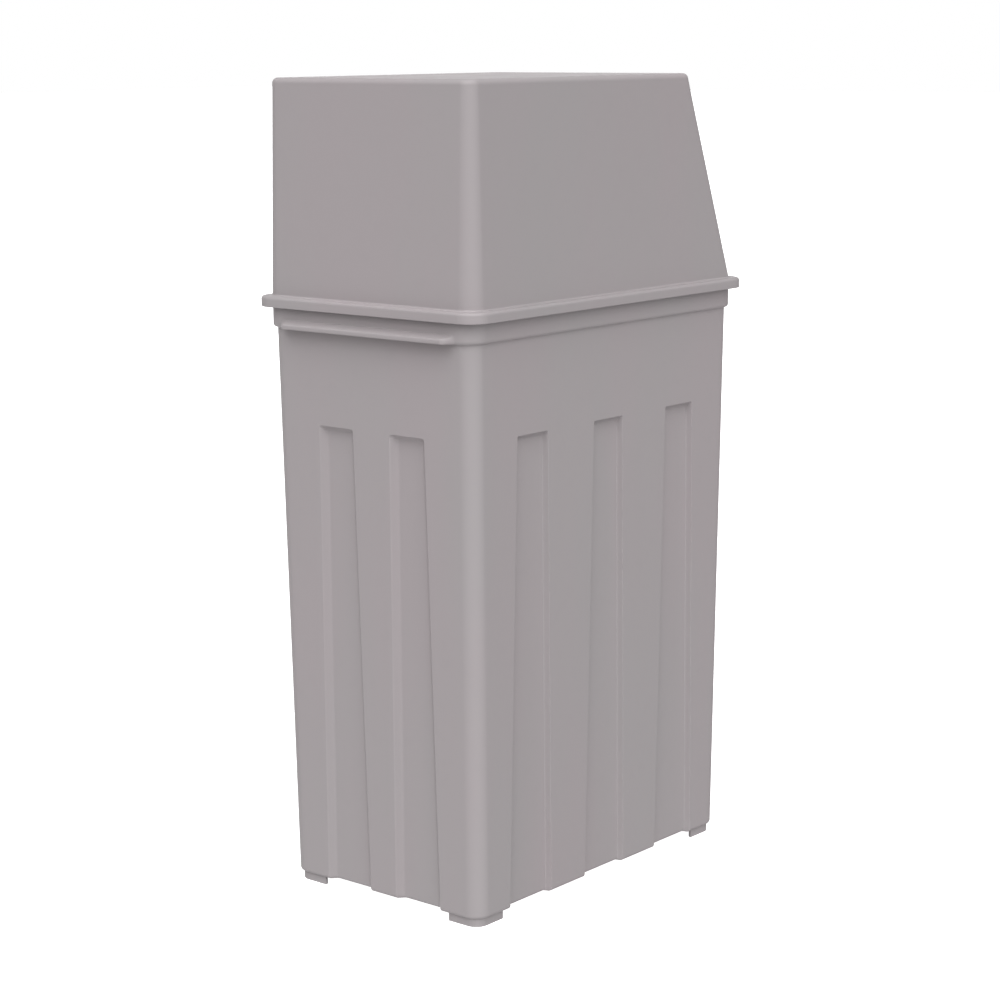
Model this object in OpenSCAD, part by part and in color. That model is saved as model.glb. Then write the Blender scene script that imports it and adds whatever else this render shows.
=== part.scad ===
// Slim litter bin for bagged dog waste: a tapered body with a lift-off slant-front hood.
// A spring-closed flap hangs behind the opening in the hood.
// Millimetres. +Z is up, the front faces -Y, and the origin is on the ground under the middle.

/* [Body] */
// Width of the body at its base, side to side
base_w = 251; // [246:1:254]
// Depth of the body at its base, front to back
base_d = 403; // [398:1:408]
// Width of the body just under the collar
top_w = 263; // [261:1:264]
// Depth of the body just under the collar
top_d = 421; // [419:1:422]
// Height of the underside of the collar above the ground
collar_z = 576; // [500:1:640]
// Width of the collar band
collar_w = 271; // [270:1:272]
// Depth of the collar band
collar_d = 430; // [429:1:431]
// Height of the collar band up to the rim
collar_h = 28; // [26:1:32]
// Wall thickness of both mouldings
wall = 3; // [2.5:0.25:3.5]
// Radius of the upright corners of the body
body_r = 16.5; // [15:0.5:18]
// Rounding of the bottom edge
bottom_r = 4; // [4:0.5:7]

/* [Channels] */
// Depth of the recessed channels
channel_depth = 6.2; // [4:0.1:7]
// Height of the top end of the channels
channel_top_z = 482; // [400:1:486]
// Width of a front or back channel at its top end
end_channel_top_w = 44.5; // [40:0.5:48]
// Width of a front or back channel where it runs out at the base
end_channel_base_w = 59; // [54:1:64]
// Sideways run of the sloping flanks of the front and back channels
end_channel_run = 5.5; // [5:0.5:8]
// Width of a side channel at its top end
side_channel_top_w = 47; // [42:1:56]
// Width of a side channel where it runs out at the base
side_channel_base_w = 65; // [58:1:74]
// Sideways run of the sloping flanks of the side channels
side_channel_run = 2; // [2:0.5:6]
// Run of the slope that closes a channel's top end
channel_end_run = 4; // [4:0.5:7]
// Spacing of the channels in the front and back
end_channel_pitch = 93; // [90:1:96]
// Spacing of the channels in the side walls
side_channel_pitch = 120; // [114:1:124]

/* [Grip lips and feet] */
// Length of each grip lip, across the front and across the back
lip_w = 225; // [180:1:232]
// How far a grip lip stands out from the collar
lip_out = 8.5; // [7:0.5:10]
// Height of the feet
foot_h = 8.5; // [6:0.5:12]
// Distance of the feet in from the base outline
foot_inset = 3.6; // [3:0.1:6]
// Length of each arm of the L-shaped feet
foot_arm = 38; // [28:1:46]
// Thickness of the feet
foot_t = 3; // [2.5:0.25:4]

/* [Hood] */
// Overall height of the bin
total_h = 820; // [790:1:850]
// Width of the hood where it leaves its rim flange
hood_w = 270.4; // [269:0.1:271]
// Depth of the hood where it leaves its rim flange
hood_d = 428; // [427:1:430]
// Width of the hood at its flat top
hood_top_w = 261.4; // [258:0.1:264]
// Distance of the top of the hood's back from the middle of the bin
hood_top_back = 209; // [206:1:212]
// How far the slanted front sets back between its rim flange and the top
front_setback = 75; // [65:1:85]
// Rounding of the hood's top edges
hood_edge_r = 5.5; // [4:0.5:6.5]
// Width of the rim flange
flange_w = 289.4; // [288:0.1:291]
// Depth of the rim flange
flange_d = 445.6; // [445:0.1:447]
// Height of the rim flange
flange_h = 10.7; // [9:0.1:12]
// Depth of the locating skirt that drops inside the body
plug_h = 16; // [12:0.5:18]

/* [Flap and opening] */
// Width of the opening in the slanted front
opening_w = 196; // [180:1:198]
// Height of the opening, measured along the slope
opening_h = 150; // [130:1:152]
// Distance of the opening up the slope from the rim flange
opening_s = 38; // [36:1:42]
// Corner radius of the opening
opening_r = 16; // [10:1:24]
// Depth of the stiffening ring moulded round the opening
ring_depth = 5; // [4:0.5:5.5]
// Overlap of the flap behind the opening
flap_overlap = 10; // [9:0.5:10]
// Thickness of the flap plate
flap_t = 3; // [2.5:0.25:3]

/* [Hinge] */
// Radius of the steel hinge rod
rod_r = 3; // [2.5:0.1:3.2]
// Radial clearance of the flap's knuckles on the rod
knuckle_clearance = 0.06; // [0.02:0.01:0.1]
// Outside radius of the flap's knuckles
knuckle_r = 6.5; // [6:0.1:6.5]
// Thickness of the hinge bracket plate
bracket_t = 2.5; // [2:0.1:3]
// Largest opening angle of the flap
flap_open_deg = 75; // [60:1:78]
// Radius of the torsion spring wire
spring_wire_r = 0.8; // [0.6:0.1:0.8]

/* [Bag ring] */
// Radius of the wire of the bag ring
bag_wire_r = 2.5; // [2:0.1:2.6]

/* [Hidden] */
$fn = 64;
hull_fn = 32;
eps = 0.01;
fit_gap = 0.3;

// Body
body_h = collar_z - foot_h;
rim_z = collar_z + collar_h - fit_gap;
ledge_z = collar_z + wall;
collar_r = body_r + (collar_w - top_w) / 2;
collar_in_w = collar_w - 2 * wall;
collar_in_d = collar_d - 2 * wall;
draft_side = atan((top_w - base_w) / 2 / body_h);
draft_end = atan((top_d - base_d) / 2 / body_h);

// Channels, measured up the wall from the base
channel_len = channel_top_z - foot_h;
channel_below = 20;
end_channels = [-0.5, 0.5] * end_channel_pitch;
side_channels = [-1, 0, 1] * side_channel_pitch;

// Grip lips
lip_root_h = 8.3;
lip_nose_h = 4.6;
lip_round = 1.4;
lip_end_r = 8;

// Hood and its rim flange
flange_bottom_z = collar_z + collar_h - 7.5;
flange_top_z = flange_bottom_z + flange_h;
flange_r = 22;
ledge_t = flange_top_z - (rim_z + fit_gap);
skirt_t = 3.5;
flange_edge = 2.5;
hood_base_r = 18;
hood_top_r = 13;
hood_rise = total_h - flange_top_z;
lean = atan(front_setback / hood_rise);
front_y = -hood_d / 2;
slope_len = hood_rise / cos(lean);
plug_gap = 0.3;
plug_w = collar_in_w - 2 * plug_gap;
plug_d = collar_in_d - 2 * plug_gap;

// Opening and flap, in the slope's own directions: s up the slope, n out of it
ring_w = 8;
ring_back_n = -wall - ring_depth;
bumper_head_t = 1.2;
flap_front_n = ring_back_n - bumper_head_t - fit_gap;
flap_back_n = flap_front_n - flap_t;
flap_w = opening_w + 2 * flap_overlap;
flap_bottom_s = opening_s - flap_overlap;
hinge_s = opening_s + opening_h + 12;
hinge_n = flap_front_n - knuckle_r;
flap_top_s = hinge_s - 10;
flap_r = 14;
rib_h = 5;
rib_t = 2.5;
rib_inset = 12;
rib_top_s = hinge_s - 36;

// Hinge: knuckles are [inner end, outer end] on each side of the middle
knuckle_out_x = flap_w / 2 + 2;
knuckles = [[30, 70], [88, knuckle_out_x]];
stop_lug_w = 6;
stop_lug_t = 4;
stop_reach = -wall - hinge_n - 0.4;
bracket_x = knuckle_out_x + 0.4;
bracket_foot_w = 12.5;
bracket_foot_h = 34;
bracket_ear_r = 8;
bracket_hole_r = rod_r + 0.03;
screw_x = bracket_x + 6.8;
screw_pitch = 22;
boss_r = 4.2;
pilot_r = 1.5;
pilot_skin = 0.6;
screw_head_r = 3.4;
screw_head_h = 2.2;
screw_hole_r = 2.1;
clip_t = 1.6;
clip_r = 5;
rod_end = 1.5;
rod_half = bracket_x + bracket_t + clip_t + rod_end;

// Torsion springs
coil_r = rod_r + 0.6 + spring_wire_r;
coil_turns = 6;
coil_pitch = 2 * spring_wire_r + 0.1;
coil_steps = 14;
wire_sides = 8;
spring_x = 73.5;
hood_leg_end = [16, -wall - hinge_n - spring_wire_r - 0.2];
flap_leg_end = [-28, flap_back_n - hinge_n - spring_wire_r - 0.1];

// Rubber bumpers on the flap
bumper_head_r = 3.4;
bumper_stem_r = 1.8;
bumper_barb_r = 2.6;
bumper_barb_t = 1.6;
bumper_x = opening_w / 2 + 4;
bumper_s = [opening_s + 10, opening_s + 95];

// Bag ring
bag_gap = 0.5;
bag_w = collar_in_w - 2 * (bag_gap + bag_wire_r);
bag_d = collar_in_d - 2 * (bag_gap + bag_wire_r);
bag_bend_r = 14;

body_colour = [0.65, 0.62, 0.63];
steel_colour = [0.74, 0.75, 0.76];
rubber_colour = [0.12, 0.12, 0.12];

// ---- Shared shapes ----

// A rectangle with round corners, centred on the origin
module round_rect(w, d, r) {
    square([w - 2 * r, d], center = true);
    square([w, d - 2 * r], center = true);
    for (x = [-1, 1], y = [-1, 1])
        translate([x * (w / 2 - r), y * (d / 2 - r)])
            circle(r);
}

module slab(w, d, r, z0, z1)
    translate([0, 0, z0])
        linear_extrude(z1 - z0)
            round_rect(w, d, r);

// A disc whose lower edge is rounded
module puck(r, edge_r, h)
    rotate_extrude($fn = hull_fn)
        union() {
            translate([0, edge_r])
                square([r, h - edge_r]);
            square([r - edge_r, edge_r]);
            translate([r - edge_r, edge_r])
                intersection() {
                    circle(edge_r, $fn = hull_fn);
                    translate([0, -edge_r])
                        square(edge_r);
                }
        }

// Copies its child to the four corners of a rectangle
module at_corners(x, y)
    for (i = [-1, 1], j = [-1, 1])
        translate([i * x, j * y, 0])
            children();

// Places its child on the slanted front: local Y runs up the slope and local Z out of it
module on_slope(s, n)
    translate([0, front_y + s * sin(lean) - n * cos(lean), flange_top_z + s * cos(lean) + n * sin(lean)])
        rotate([90 - lean, 0, 0])
            children();

// A block on the slope, from s0 to s1 up the slope and n0 to n1 out of it
module slope_block(x0, x1, s0, s1, n0, n1)
    on_slope(s0, n0)
        translate([x0, 0, 0])
            cube([x1 - x0, s1 - s0, n1 - n0]);

// A cylinder that lies across the bin, on the hinge axis
module across_hinge(x0, x1, r)
    on_slope(hinge_s, hinge_n)
        translate([x0, 0, 0])
            rotate([0, 90, 0])
                cylinder(h = x1 - x0, r = r);

// ---- Body ----

// The tapered solid inside the wall's face, in from it by inset
module tapered_block(inset, z0, z1) {
    r = body_r - inset;
    edge_r = bottom_r - inset;
    hull() {
        at_corners(base_w / 2 - body_r, base_d / 2 - body_r)
            translate([0, 0, z0])
                puck(r, edge_r, edge_r + 1);
        at_corners(top_w / 2 - body_r, top_d / 2 - body_r)
            translate([0, 0, z1 - eps])
                cylinder(h = eps, r = r, $fn = hull_fn);
    }
}

// How far a slope of the given run moves when it is shifted square to itself by skin
function slope_shift(run, skin) = skin * norm([1, run / channel_depth]);

// Corners of a channel at the distance z out of the wall's face; w is [base width, top width]
function channel_corners(w, run, z, skin) =
    let (
        top = channel_len + z * channel_end_run / channel_depth + slope_shift(channel_end_run, skin),
        spread = z * run / channel_depth + slope_shift(run, skin),
        taper = (w[1] - w[0]) / 2 / channel_len,
        low = w[0] / 2 - taper * channel_below + spread,
        high = w[0] / 2 + taper * top + spread
    )
    [[-low, -channel_below, z], [low, -channel_below, z], [high, top, z], [-high, top, z]];

// The tapering block that a channel removes from the wall
module channel_block(w, run, z_in, z_out, skin)
    polyhedron(
        points = concat(channel_corners(w, run, z_in, skin), channel_corners(w, run, z_out, skin)),
        faces = [[0, 1, 2, 3], [7, 6, 5, 4], [0, 4, 5, 1], [1, 5, 6, 2], [2, 6, 7, 3], [3, 7, 4, 0]]
    );

// Places its child on an end wall (front or back), local Y up the wall and local Z out of it
module on_end_wall(turn)
    rotate([0, 0, turn])
        translate([0, -base_d / 2, foot_h])
            rotate([90 + draft_end, 0, 0])
                children();

module on_side_wall(turn)
    rotate([0, 0, turn])
        translate([0, -base_w / 2, foot_h])
            rotate([90 + draft_side, 0, 0])
                children();

// Every channel block, cut from z_in below the walls' faces to z_out above them
module all_channels(z_in, z_out, skin) {
    for (turn = [0, 180], x = end_channels)
        on_end_wall(turn)
            translate([x, 0, 0])
                channel_block([end_channel_base_w, end_channel_top_w], end_channel_run, z_in, z_out, skin);
    for (turn = [90, 270], x = side_channels)
        on_side_wall(turn)
            translate([x, 0, 0])
                channel_block([side_channel_base_w, side_channel_top_w], side_channel_run,
                              z_in, z_out, skin);
}

// A grip lip's cross-section: local X out from the collar, local Y up from its lower edge
module lip_profile()
    polygon([
        [-wall / 2, 0], [lip_out - lip_round, 0], [lip_out, lip_round],
        [lip_out, lip_nose_h - lip_round], [lip_out - lip_round, lip_nose_h],
        [0, lip_root_h], [-wall / 2, lip_root_h]
    ]);

module grip_lips()
    intersection() {
        for (turn = [0, 180])
            rotate([0, 0, turn])
                translate([-lip_w / 2, -collar_d / 2, collar_z])
                    rotate([90, 0, 90])
                        mirror([1, 0, 0])
                            linear_extrude(lip_w)
                                lip_profile();
        slab(lip_w, collar_d + 2 * lip_out, lip_end_r, collar_z, rim_z);
    }

// L-shaped feet, one under each corner
module feet() {
    w = base_w - 2 * foot_inset;
    d = base_d - 2 * foot_inset;
    r = body_r - foot_inset;
    top_z = foot_h + wall - 0.6;
    intersection() {
        difference() {
            slab(w, d, r, 0, top_z);
            slab(w - 2 * foot_t, d - 2 * foot_t, r - foot_t, -1, top_z + 1);
        }
        at_corners(w / 2 - foot_arm / 2, d / 2 - foot_arm / 2)
            translate([-foot_arm / 2, -foot_arm / 2, 0])
                cube([foot_arm, foot_arm, top_z]);
    }
}

module bin_body()
    color(body_colour) {
        difference() {
            union() {
                difference() {
                    tapered_block(0, foot_h, collar_z + 1);
                    all_channels(-channel_depth, 2, 0);
                }
                slab(collar_w, collar_d, collar_r, collar_z, rim_z);
                grip_lips();
            }
            difference() {
                tapered_block(wall, foot_h + wall, ledge_z + 1);
                all_channels(-channel_depth - wall, 2, wall);
            }
            slab(collar_in_w, collar_in_d, collar_r - wall, ledge_z, rim_z + 1);
        }
        feet();
    }

// ---- Bag ring ----

module bag_ring() {
    x = bag_w / 2 - bag_bend_r;
    y = bag_d / 2 - bag_bend_r;
    color(steel_colour)
        translate([0, 0, ledge_z + fit_gap + bag_wire_r]) {
            for (i = [-1, 1]) {
                translate([i * bag_w / 2, -y, 0])
                    rotate([-90, 0, 0])
                        cylinder(h = 2 * y, r = bag_wire_r);
                translate([-x, i * bag_d / 2, 0])
                    rotate([0, 90, 0])
                        cylinder(h = 2 * x, r = bag_wire_r);
            }
            for (c = [[1, 1, 0], [-1, 1, 90], [-1, -1, 180], [1, -1, 270]])
                translate([c[0] * x, c[1] * y, 0])
                    rotate([0, 0, c[2]])
                        rotate_extrude(angle = 90)
                            translate([bag_bend_r, 0])
                                circle(bag_wire_r);
        }
}

// ---- Hood ----

// The slanted block inside the hood's face, in from it by inset
module hood_block(inset) {
    top_r = hood_top_r - inset;
    edge_r = hood_edge_r - inset;
    top_z = total_h - inset;
    tube_z = top_z - edge_r - flange_top_z;
    // The slope touches the rounded top edge, so that edge's centre lies edge_r behind the slope
    tube_y = front_y + tube_z * tan(lean) + (edge_r + inset) / cos(lean);
    low_front = -front_y - inset / cos(lean) - hood_base_r;
    hull() {
        for (x = [-1, 1]) {
            translate([x * (hood_w / 2 - hood_base_r), -low_front, flange_top_z])
                cylinder(h = eps, r = hood_base_r - inset, $fn = hull_fn);
            translate([x * (hood_w / 2 - hood_base_r), hood_d / 2 - hood_base_r, flange_top_z])
                cylinder(h = eps, r = hood_base_r - inset, $fn = hull_fn);
            translate([x * (hood_top_w / 2 - hood_top_r), tube_y + top_r - edge_r, top_z])
                mirror([0, 0, 1])
                    puck(top_r, edge_r, edge_r + eps);
            translate([x * (hood_top_w / 2 - hood_top_r), hood_top_back - hood_top_r, top_z])
                mirror([0, 0, 1])
                    puck(top_r, edge_r, edge_r + eps);
        }
    }
}

// The turned-down flange that covers the collar
module rim_flange()
    difference() {
        hull() {
            slab(flange_w - 2 * flange_edge, flange_d - 2 * flange_edge, flange_r - flange_edge,
                 flange_bottom_z, flange_top_z, $fn = hull_fn);
            slab(flange_w, flange_d, flange_r, flange_bottom_z, flange_top_z - flange_edge, $fn = hull_fn);
        }
        slab(flange_w - 2 * skirt_t, flange_d - 2 * skirt_t, flange_r - skirt_t,
             flange_bottom_z - 1, flange_top_z - ledge_t);
    }

module opening_outline(grow)
    round_rect(opening_w + 2 * grow, opening_h + 2 * grow, opening_r + grow);

module opening_block(grow, n0, n1)
    on_slope(opening_s + opening_h / 2, n0)
        linear_extrude(n1 - n0)
            opening_outline(grow);

// Calls its child at each bracket screw, at the depth n
module at_screws(n)
    for (x = [-1, 1], s = [-0.5, 0.5])
        on_slope(hinge_s + s * screw_pitch, n)
            translate([x * screw_x, 0, 0])
                children();

module hood()
    color(body_colour)
        difference() {
            union() {
                difference() {
                    union() {
                        hood_block(0);
                        rim_flange();
                        slab(plug_w, plug_d, collar_r - wall - plug_gap,
                             flange_top_z - ledge_t - plug_h, flange_top_z - ledge_t + 1);
                    }
                    hood_block(wall);
                    slab(plug_w - 2 * wall, plug_d - 2 * wall, collar_r - 2 * wall - plug_gap,
                         flange_top_z - ledge_t - plug_h - 1, flange_top_z + 1);
                }
                opening_block(ring_w, ring_back_n, -wall / 2);
                at_screws(ring_back_n)
                    cylinder(h = ring_depth + wall / 2, r = boss_r);
            }
            opening_block(0, ring_back_n - 1, 10);
            at_screws(ring_back_n - 1)
                cylinder(h = ring_depth + wall + 1 - pilot_skin, r = pilot_r);
        }

// ---- Flap ----

// One knuckle and the web that joins it to the plate
module knuckle(x0, x1) {
    across_hinge(x0, x1, knuckle_r);
    slope_block(x0, x1, flap_top_s - 1, hinge_s, flap_back_n, flap_front_n);
}

// The lug that meets the inside of the hood when the flap is fully open
module stop_lug()
    on_slope(hinge_s, hinge_n)
        rotate([90 - flap_open_deg, 0, 0])
            translate([-stop_lug_w / 2, 0, -stop_lug_t / 2])
                cube([stop_lug_w, stop_reach, stop_lug_t]);

module flap_plate() {
    h = flap_top_s - flap_bottom_s;
    difference() {
        on_slope(flap_bottom_s + h / 2, flap_back_n)
            linear_extrude(flap_t)
                round_rect(flap_w, h, flap_r);
        // A shallow recess in the face, to push on
        on_slope(opening_s + opening_h / 2, flap_front_n - 1)
            linear_extrude(2)
                round_rect(opening_w - 36, opening_h - 36, flap_r);
    }
    rib_w = flap_w - 2 * rib_inset;
    rib_len = rib_top_s - flap_bottom_s - rib_inset;
    on_slope(rib_top_s - rib_len / 2, flap_back_n - rib_h)
        linear_extrude(rib_h + 0.5)
            difference() {
                round_rect(rib_w, rib_len, flap_r / 2);
                round_rect(rib_w - 2 * rib_t, rib_len - 2 * rib_t, flap_r / 2 - rib_t);
            }
}

module at_bumpers(side, n)
    for (s = bumper_s)
        on_slope(s, n)
            translate([side * bumper_x, 0, 0])
                children();

module flap()
    color(body_colour * 0.95)
        difference() {
            union() {
                flap_plate();
                for (k = knuckles) {
                    knuckle(k[0], k[1]);
                    knuckle(-k[1], -k[0]);
                }
                for (x = [-1, 1])
                    translate([x * (knuckle_out_x - stop_lug_w), 0, 0])
                        stop_lug();
            }
            across_hinge(-knuckle_out_x - 1, knuckle_out_x + 1, rod_r + knuckle_clearance);
            for (side = [-1, 1])
                at_bumpers(side, flap_back_n - 1)
                    cylinder(h = flap_t + 2, r = bumper_stem_r);
        }

// Two rubber buttons down one side of the flap
module flap_bumpers(side)
    color(rubber_colour)
        at_bumpers(side, flap_back_n - bumper_barb_t)
            rotate_extrude()
                polygon([
                    [0, 0], [bumper_stem_r * 0.7, 0], [bumper_barb_r, bumper_barb_t],
                    [bumper_stem_r, bumper_barb_t], [bumper_stem_r, bumper_barb_t + flap_t],
                    [bumper_head_r, bumper_barb_t + flap_t],
                    [bumper_head_r, bumper_barb_t + flap_t + bumper_head_t * 0.5],
                    [bumper_head_r - 0.6, bumper_barb_t + flap_t + bumper_head_t],
                    [0, bumper_barb_t + flap_t + bumper_head_t]
                ]);

module flap_bumper_left() flap_bumpers(-1);

module flap_bumper_right() flap_bumpers(1);

// ---- Hinge ----

module hinge_rod()
    color(steel_colour)
        across_hinge(-rod_half, rod_half, rod_r);

// An angle bracket: its foot is screwed to the front wall and its ear carries the rod
module hinge_bracket(side)
    color(steel_colour)
        mirror([side < 0 ? 1 : 0, 0, 0])
            difference() {
                union() {
                    slope_block(bracket_x, bracket_x + bracket_foot_w,
                                hinge_s - bracket_foot_h / 2, hinge_s + bracket_foot_h / 2,
                                ring_back_n - bracket_t, ring_back_n);
                    slope_block(bracket_x, bracket_x + bracket_t,
                                hinge_s - bracket_ear_r, hinge_s + bracket_ear_r,
                                hinge_n, ring_back_n - eps);
                    across_hinge(bracket_x, bracket_x + bracket_t, bracket_ear_r);
                }
                across_hinge(bracket_x - 1, bracket_x + bracket_t + 1, bracket_hole_r);
                at_screws(ring_back_n - bracket_t - 1)
                    cylinder(h = bracket_t + 2, r = screw_hole_r);
            }

module hinge_bracket_left() hinge_bracket(-1);

module hinge_bracket_right() hinge_bracket(1);

module bracket_screws()
    color(steel_colour * 0.9)
        at_screws(ring_back_n - bracket_t - screw_head_h)
            difference() {
                union() {
                    cylinder(h = screw_head_h, r = screw_head_r);
                    cylinder(h = screw_head_h + bracket_t + ring_depth + 1, r = pilot_r);
                }
                for (turn = [0, 90])
                    rotate([0, 0, turn])
                        translate([-screw_head_r * 0.6, -0.4, -1])
                            cube([screw_head_r * 1.2, 0.8, 1 + screw_head_h * 0.6]);
            }

// Push-on clips that keep the rod from sliding out of its brackets
module rod_clips()
    color(steel_colour * 0.8)
        for (x = [bracket_x + bracket_t + 0.1, -bracket_x - bracket_t - 0.1 - clip_t])
            difference() {
                across_hinge(x, x + clip_t, clip_r);
                across_hinge(x - 1, x + clip_t + 1, rod_r - 0.05);
            }

// ---- Torsion springs ----

// Angle on the coil where a straight leg to the point p leaves it
function leg_angle(p, side) = atan2(p[1], p[0]) + side * acos(coil_r / norm(p));

leg_start = leg_angle(hood_leg_end, -1);
leg_stop = leg_angle(flap_leg_end, 1) - 360 * (coil_turns + 1);
coil_count = ceil((leg_start - leg_stop) / 360 * coil_steps);

// The wire's centre line: the hood leg, the coil and the flap leg, with X along the rod
function spring_path() =
    let (x_end = (leg_start - leg_stop) / 360 * coil_pitch)
    concat(
        [[0, hood_leg_end[0], hood_leg_end[1]]],
        [for (i = [0:coil_count])
            let (t = i / coil_count, a = leg_start + (leg_stop - leg_start) * t)
            [x_end * t, coil_r * cos(a), coil_r * sin(a)]],
        [[x_end, flap_leg_end[0], flap_leg_end[1]]]
    );

function unit(v) = v / norm(v);

// Direction of the path at its point i
function heading(path, i) =
    unit(path[min(i + 1, len(path) - 1)] - path[max(i - 1, 0)]);

// The ring of points round the wire at the path's point i
function wire_ring(path, i) =
    let (t = heading(path, i), u = unit(cross(t, [1, 0, 0])), v = cross(t, u))
    [for (k = [0:wire_sides - 1])
        path[i] + spring_wire_r * (cos(360 * k / wire_sides) * u + sin(360 * k / wire_sides) * v)];

module wire(path) {
    n = len(path);
    points = [for (i = [0:n - 1]) each wire_ring(path, i)];
    skin = [for (i = [0:n - 2], k = [0:wire_sides - 1])
        let (a = i * wire_sides + k, b = i * wire_sides + (k + 1) % wire_sides)
        [a, b, b + wire_sides, a + wire_sides]];
    first = [for (k = [wire_sides - 1:-1:0]) k];
    last = [for (k = [0:wire_sides - 1]) (n - 1) * wire_sides + k];
    polyhedron(points = points, faces = concat(skin, [first, last]));
}

module torsion_spring(side)
    color(steel_colour * 0.7)
        mirror([side < 0 ? 1 : 0, 0, 0])
            on_slope(hinge_s, hinge_n)
                translate([spring_x, 0, 0])
                    wire(spring_path());

module torsion_spring_left() torsion_spring(-1);

module torsion_spring_right() torsion_spring(1);

bin_body();
bag_ring();
hood();
flap();
flap_bumper_left();
flap_bumper_right();
hinge_rod();
hinge_bracket_left();
hinge_bracket_right();
bracket_screws();
rod_clips();
torsion_spring_left();
torsion_spring_right();
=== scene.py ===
import math

import bmesh
import bpy
import numpy as np
from mathutils import Matrix, Vector
from mathutils.geometry import delaunay_2d_cdt


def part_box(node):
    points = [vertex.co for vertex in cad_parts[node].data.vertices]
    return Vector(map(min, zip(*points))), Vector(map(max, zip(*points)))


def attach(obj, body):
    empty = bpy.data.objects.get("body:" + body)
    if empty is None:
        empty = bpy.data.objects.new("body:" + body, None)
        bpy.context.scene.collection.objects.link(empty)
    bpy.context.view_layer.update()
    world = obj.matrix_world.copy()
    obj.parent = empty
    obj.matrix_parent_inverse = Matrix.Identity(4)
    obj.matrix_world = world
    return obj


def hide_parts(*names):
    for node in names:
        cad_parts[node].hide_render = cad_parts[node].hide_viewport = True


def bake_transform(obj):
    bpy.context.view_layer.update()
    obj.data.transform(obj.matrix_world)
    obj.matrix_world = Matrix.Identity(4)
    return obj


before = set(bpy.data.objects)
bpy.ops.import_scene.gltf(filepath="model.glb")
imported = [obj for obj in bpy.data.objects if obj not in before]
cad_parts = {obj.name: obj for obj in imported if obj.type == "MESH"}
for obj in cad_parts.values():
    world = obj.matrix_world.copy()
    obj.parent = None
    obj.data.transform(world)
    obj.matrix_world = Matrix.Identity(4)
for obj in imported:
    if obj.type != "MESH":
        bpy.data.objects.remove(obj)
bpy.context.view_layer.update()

# ---- Driving dimensions, in millimetres unless a name says otherwise ----

MM = 0.001
BODY_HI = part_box("bin_body")[1] / MM
HOOD_LO, HOOD_HI = (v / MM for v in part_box("hood"))

WALL = 3.0
FOOT_H = 8.5
FOOT_INSET = 3.6
FOOT_ARM = 38.0
BASE = np.array([125.5, 201.5])      # half width and half depth of the body at its base
TOP = np.array([131.5, 210.5])       # the same just under the collar
COLLAR = np.array([135.5, 215.0])    # the same of the collar band
COLLAR_Z = 576.0
RIM_Z = BODY_HI.z
LEDGE_Z = COLLAR_Z + WALL
BODY_R = 16.5
COLLAR_R = BODY_R + (COLLAR - TOP)[0]
BOTTOM_R = 4.0
RIM_R = 1.2

CHANNEL_DEPTH = 6.2
CHANNEL_TOP_Z = 482.0
CHANNEL_END_RUN = 4.0
CHANNEL_BLEND = 3.5                  # how squarely a channel's flanks meet the slope at its top
SIDE_CHANNELS = {"at": (-120.0, 0.0, 120.0), "base": 65.0, "top": 47.0, "run": 2.0}
END_CHANNELS = {"at": (-46.5, 46.5), "base": 59.0, "top": 44.5, "run": 5.5}
# Share of a flank's run that each half of its rounded edges takes: outer edge, then inner edge
EASE = (0.13, 0.42)

LIP_HALF = 115.0
LIP_END = 13.0                       # length over which a grip lip's end dies away into the collar
LIP_Y = BODY_HI.y
COLLAR_EDGE_R, LIP_LOW_R, LIP_HIGH_R = 3.5, 1.5, 2.4

FLANGE = np.array([HOOD_HI.x, HOOD_HI.y])
FLANGE_Z = (596.5, 607.2)
FLANGE_R = 22.0
FLANGE_TOP_EDGE_R, FLANGE_LOW_EDGE_R = 3.2, 0.8
SKIRT_T = 3.5
PLUG_GAP = 0.3
PLUG_Z = HOOD_LO.z
HOOD_BASE = {"half": 135.2, "front": -214.0, "back": 214.0, "radius": 18.0}
HOOD_TOP = {"half": 130.7, "front": -139.0, "back": 209.0, "radius": 13.0}
HOOD_EDGE_R = 5.5
HOOD_FOOT_R = 2.0
HOOD_RISE = HOOD_HI.z - FLANGE_Z[1]
LEAN = math.atan((HOOD_TOP["front"] - HOOD_BASE["front"]) / HOOD_RISE)

# On the slanted front, s is the distance up the slope and n the distance out of it
OPENING = {"half": (98.0, 75.0), "r": 16.0, "s": 113.0}
RING_W = 8.0                         # the thickened ring round the opening, and the n of its back
RING_BACK = -8.0
HINGE_S, HINGE_N = 200.0, -16.0
BOSS_R, BOSS_EDGE = 4.2, 0.4

FLAP_FRONT, FLAP_BACK = -9.5, -12.5
FLAP = {"half": (108.0, 81.0), "r": 14.0, "s": 109.0}
FLAP_RECESS = {"half": (80.0, 57.0), "r": 14.0, "s": 113.0}
FLAP_RIB = {"half": (96.0, 62.0), "r": 7.0, "s": 102.0}
FLAP_TOP_S = FLAP["s"] + FLAP["half"][1]
KNUCKLES = ((30.0, 70.0), (88.0, 110.0))
KNUCKLE_R, KNUCKLE_BORE_R = 6.5, 3.06
OPEN_ANGLE = 75.0
STOP_REACH, STOP_HALF_T, STOP_X = 12.6, 2.0, (101.0, 107.0)
BUMPER_X, BUMPER_S, BUMPER_HOLE_R = 102.0, (48.0, 133.0), 1.85

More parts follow.
